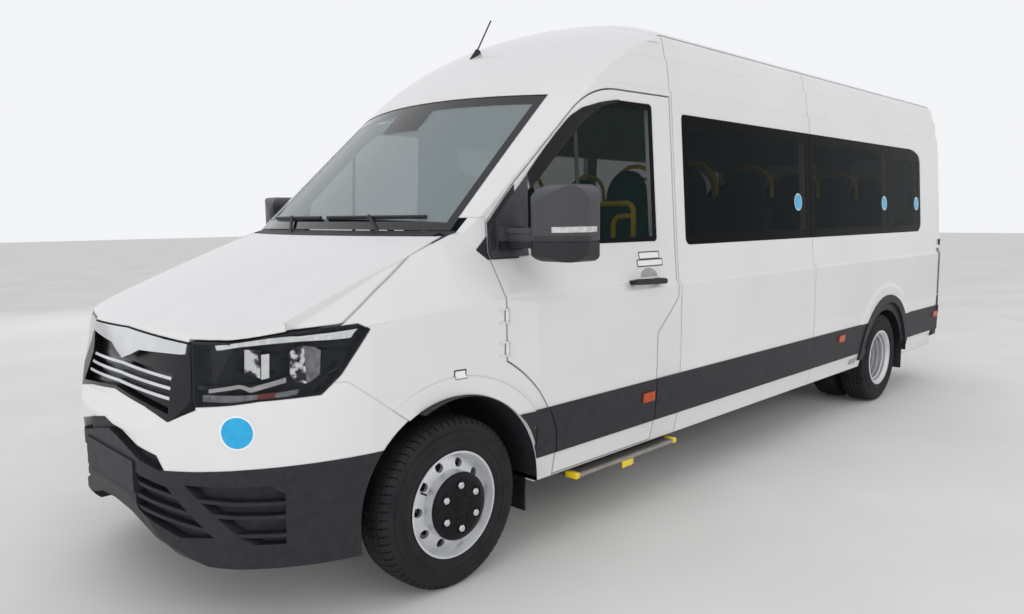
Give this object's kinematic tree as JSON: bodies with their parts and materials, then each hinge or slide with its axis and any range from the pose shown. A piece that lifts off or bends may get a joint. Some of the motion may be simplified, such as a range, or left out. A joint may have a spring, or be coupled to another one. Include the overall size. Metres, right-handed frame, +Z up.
{
  "type": "minibus",
  "caption": "Long-wheelbase high-roof minibus with twin rear wheels, opening cab doors, rear barn doors and bonnet, steered front wheels, passenger seats and yellow grab rails.",
  "frame": {"origin": "on the ground below the middle of the vehicle", "axes": "+X to the front, +Y to the vehicle's left, +Z up"},
  "size_m": [6.8317, 2.5704, 2.6219],
  "materials": {
    "white_paint": "clear-coated white paint, gloss",
    "trim_plastic": "grained anthracite plastic",
    "gloss_black": "gloss black plastic",
    "plated_trim": "bright plated trim",
    "tinted_glass": "dark tinted glass",
    "clear_glass": "lightly tinted glass",
    "lamp_glass": "clear lamp cover",
    "red_lamp": "red lamp lens",
    "silver_rim": "silver wheel paint, satin",
    "tyre": "road tyre rubber",
    "chassis_black": "black chassis paint, satin",
    "forged": "forged and cast parts, dull",
    "exhaust_steel": "heat-dulled stainless steel",
    "tank_plastic": "black moulded tank",
    "floor_vinyl": "grey speckled vinyl on painted steel",
    "dash_plastic": "dark grained dashboard plastic",
    "seat_fabric": "dark blue-green woven seat cloth",
    "seat_steel": "dark grey powder coat",
    "yellow_rail": "bright yellow powder coat"
  },
  "bodies": {
    "root": {"front_bumper": "white_paint", "bumper_skirt": "trim_plastic", "front_wings": "white_paint", "cab_frame": "white_paint", "roof": "white_paint", "side_wall_left": "white_paint", "side_wall_right": "white_paint", "windscreen": "clear_glass", "side_windows": "tinted_glass", "headlamps": "lamp_glass", "lamp_trays": "gloss_black", "grille": "gloss_black", "grille_bar": "plated_trim", "cowl_panel": "trim_plastic", "side_mouldings": "trim_plastic", "tail_lamps": "red_lamp", "rear_bumper": "trim_plastic", "chassis": "chassis_black", "floor": "floor_vinyl", "arch_liners": "trim_plastic", "engine": "forged", "prop_shaft": "forged", "fuel_tank": "tank_plastic", "exhaust": "exhaust_steel", "front_subframe": "chassis_black", "rear_axle": "forged", "leaf_springs": "forged", "dashboard": "dash_plastic", "steering_wheel": "dash_plastic", "seats": "seat_fabric", "seat_frames": "seat_steel", "handrails": "yellow_rail", "antenna": "trim_plastic", "wipers": "trim_plastic", "side_step": "exhaust_steel"},
    "door_left": {"door_left": "white_paint", "door_glass_left": "clear_glass", "door_trim_left": "trim_plastic", "mirror_left": "trim_plastic"},
    "door_right": {"door_right": "white_paint", "door_glass_right": "clear_glass", "door_trim_right": "trim_plastic", "mirror_right": "trim_plastic"},
    "rear_door_left": {"rear_door_left": "white_paint", "rear_glass_left": "tinted_glass"},
    "rear_door_right": {"rear_door_right": "white_paint", "rear_glass_right": "tinted_glass"},
    "bonnet": {"bonnet": "white_paint"},
    "knuckle_left": {"knuckle_left": "forged"},
    "knuckle_right": {"knuckle_right": "forged"},
    "wheel_front_left": {"front_tyre_left": "tyre", "front_rim_left": "silver_rim"},
    "wheel_front_right": {"front_tyre_right": "tyre", "front_rim_right": "silver_rim"},
    "wheel_rear_left": {"rear_tyres_left": "tyre", "rear_rims_left": "silver_rim"},
    "wheel_rear_right": {"rear_tyres_right": "tyre", "rear_rims_right": "silver_rim"}
  },
  "joints": [
    {"name": "door_left_hinge", "type": "hinge", "parent": "root", "child": "door_left", "pos_m": [2.1615, 1.003, 1.03], "axis": [0, 0, -1], "range_deg": [0, 72]},
    {"name": "door_right_hinge", "type": "hinge", "parent": "root", "child": "door_right", "pos_m": [2.1615, -1.003, 1.03], "axis": [0, 0, 1], "range_deg": [0, 72]},
    {"name": "rear_door_left_hinge", "type": "hinge", "parent": "root", "child": "rear_door_left", "pos_m": [-3.404, 0.88, 1.24], "axis": [0, 0, -1], "range_deg": [0, 180]},
    {"name": "rear_door_right_hinge", "type": "hinge", "parent": "root", "child": "rear_door_right", "pos_m": [-3.404, -0.88, 1.24], "axis": [0, 0, 1], "range_deg": [0, 180]},
    {"name": "bonnet_hinge", "type": "hinge", "parent": "root", "child": "bonnet", "pos_m": [2.326, 0, 1.416], "axis": [0, -1, 0], "range_deg": [0, 55]},
    {"name": "steer_left", "type": "hinge", "parent": "root", "child": "knuckle_left", "pos_m": [2.427, 0.76, 0.352], "axis": [0, 0, 1], "range_deg": [-38, 38]},
    {"name": "steer_right", "type": "hinge", "parent": "root", "child": "knuckle_right", "pos_m": [2.427, -0.76, 0.352], "axis": [0, 0, 1], "range_deg": [-38, 38]},
    {"name": "wheel_front_left_spin", "type": "hinge", "parent": "knuckle_left", "child": "wheel_front_left", "pos_m": [2.427, 0.8675, 0.352], "axis": [0, 1, 0], "continuous": true},
    {"name": "wheel_front_right_spin", "type": "hinge", "parent": "knuckle_right", "child": "wheel_front_right", "pos_m": [2.427, -0.8675, 0.352], "axis": [0, 1, 0], "continuous": true},
    {"name": "wheel_rear_left_spin", "type": "hinge", "parent": "root", "child": "wheel_rear_left", "pos_m": [-2.063, 0.765, 0.352], "axis": [0, 1, 0], "continuous": true},
    {"name": "wheel_rear_right_spin", "type": "hinge", "parent": "root", "child": "wheel_rear_right", "pos_m": [-2.063, -0.765, 0.352], "axis": [0, 1, 0], "continuous": true}
  ],
  "couplings": [
    {"joint": "steer_right", "follows": "steer_left", "ratio": 1}
  ]
}
